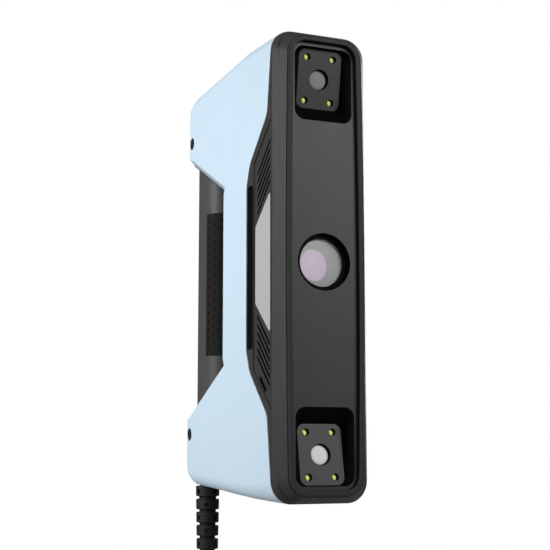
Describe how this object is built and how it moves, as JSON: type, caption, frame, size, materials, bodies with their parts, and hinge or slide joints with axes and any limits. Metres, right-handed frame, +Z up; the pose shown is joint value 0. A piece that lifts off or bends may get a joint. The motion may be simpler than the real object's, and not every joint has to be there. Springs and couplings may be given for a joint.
{
  "type": "handheld structured-light 3d scanner",
  "caption": "Handheld structured-light scanner with a tall front holding cameras and a projector, a grip behind a hand opening, thumb buttons and a coiled lead.",
  "frame": {"origin": "centre of the grip's cross-section, level with the projector's axis", "axes": "+Z up along the body's long axis, -Y out of the lenses, +X to the holder's right"},
  "size_m": [0.063, 0.153, 0.448],
  "materials": {
    "bezel_black": "fine satin texture",
    "panel_black": "smooth satin",
    "shell_black": "fine spark texture",
    "cover_blue": "satin paint, light blue",
    "badge_grey": "satin, light grey",
    "pad_rubber": "matt, dimpled",
    "soft_rubber": "matt",
    "button_grey": "satin",
    "light_guide": "clear, lit from behind",
    "lens_glass": "clear, coated",
    "window_glass": "clear, slightly frosted",
    "coated_lens": "lilac coating",
    "barrel_black": "black anodised",
    "led_yellow": "clear domes over yellow emitters",
    "board_green": "solder mask",
    "chip_black": "moulded",
    "bare_aluminium": "machined",
    "engine_grey": "die cast, dark",
    "steel": "zinc plated",
    "brass": "turned",
    "cord_black": "matt jacket",
    "tie_fabric": "hook and loop"
  },
  "bodies": {
    "root": {"front_bezel": "bezel_black", "front_panel": "panel_black", "front_gasket": "soft_rubber", "bezel_screws": "steel", "camera_plate_upper": "panel_black", "camera_plate_lower": "panel_black", "camera_glass_upper": "lens_glass", "camera_glass_lower": "lens_glass", "led_rings_upper": "led_yellow", "led_rings_lower": "led_yellow", "led_board_upper": "board_green", "led_board_lower": "board_green", "camera_barrel_upper": "barrel_black", "camera_barrel_lower": "barrel_black", "camera_board_upper": "board_green", "camera_board_lower": "board_green", "projector_window": "window_glass", "projector_lens": "coated_lens", "projector_barrel": "barrel_black", "projector_engine": "engine_grey", "heat_sink": "bare_aluminium", "chassis": "bare_aluminium", "chassis_screws": "steel", "fan_frame": "chip_black", "main_board": "board_green", "board_parts": "chip_black", "board_screws": "steel", "housing_left": "shell_black", "housing_right": "shell_black", "housing_screws": "steel", "side_cover_left": "cover_blue", "side_cover_right": "cover_blue", "cover_screws": "steel", "screw_plugs": "soft_rubber", "vent_left": "shell_black", "vent_right": "shell_black", "badge_left": "badge_grey", "badge_right": "badge_grey", "grip_pad_left": "pad_rubber", "grip_pad_right": "pad_rubber", "grip_spine": "shell_black", "button_board": "board_green", "button_domes": "steel", "status_window": "light_guide", "tripod_insert": "brass", "wire_harness": "cord_black", "cable_gland": "soft_rubber", "strain_relief": "soft_rubber", "lead_tube": "cord_black", "lead_coil": "cord_black", "coil_tie": "tie_fabric", "plug_body": "soft_rubber", "plug_shell": "steel"},
    "fan": {"fan_rotor": "chip_black"},
    "scan_key": {"button_scan": "button_grey"},
    "plus_key": {"button_plus": "button_grey"},
    "minus_key": {"button_minus": "button_grey"}
  },
  "joints": [
    {"name": "fan_spin", "type": "hinge", "parent": "root", "child": "fan", "pos_m": [0.014, -0.0715, -0.062], "axis": [1, 0, 0], "continuous": true},
    {"name": "scan_press", "type": "slide", "parent": "root", "child": "scan_key", "axis": [0, -1, 0], "range_m": [0, 0.0008], "stiffness_N_per_m": 600, "springref_m": -0.0005},
    {"name": "plus_press", "type": "slide", "parent": "root", "child": "plus_key", "axis": [0, -1, 0], "range_m": [0, 0.0008], "stiffness_N_per_m": 600, "springref_m": -0.0005},
    {"name": "minus_press", "type": "slide", "parent": "root", "child": "minus_key", "axis": [0, -1, 0], "range_m": [0, 0.0008], "stiffness_N_per_m": 600, "springref_m": -0.0005}
  ]
}
